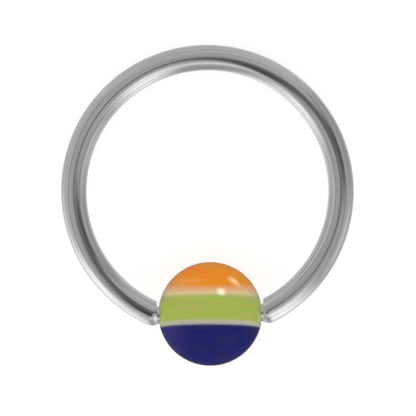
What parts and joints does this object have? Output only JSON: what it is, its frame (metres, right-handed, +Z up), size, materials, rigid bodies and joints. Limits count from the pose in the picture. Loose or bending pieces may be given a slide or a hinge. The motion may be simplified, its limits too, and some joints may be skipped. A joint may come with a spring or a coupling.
{
  "type": "captive bead ring",
  "caption": "Body jewel: a ring of round polished steel wire with a gap, closed by a glossy striped ball that the wire's ends hold between them.",
  "frame": {"origin": "on the surface that it lies on, under the middle of its outer box", "axes": "+Z up; +Y from the ball along the surface to the far side of the wire; +X along the axis of the ball's dimples"},
  "size_m": [0.0146, 0.0158, 0.0051],
  "materials": {
    "steel_wire": "polished steel wire with faint drawing lines",
    "orange_acrylic": "gloss",
    "cream_acrylic": "gloss",
    "green_acrylic": "gloss",
    "grey_white_acrylic": "gloss",
    "blue_acrylic": "gloss"
  },
  "bodies": {
    "ring": {"ring_wire": "steel_wire"},
    "bead": {"bead_orange_cap": "orange_acrylic", "bead_upper_line": "cream_acrylic", "bead_green_band": "green_acrylic", "bead_lower_line": "grey_white_acrylic", "bead_blue_cap": "blue_acrylic"}
  },
  "joints": [
    {"name": "bead_spin", "type": "hinge", "parent": "ring", "child": "bead", "pos_m": [0, -0.00532, 0.00258], "axis": [1, 0, 0], "continuous": true}
  ]
}
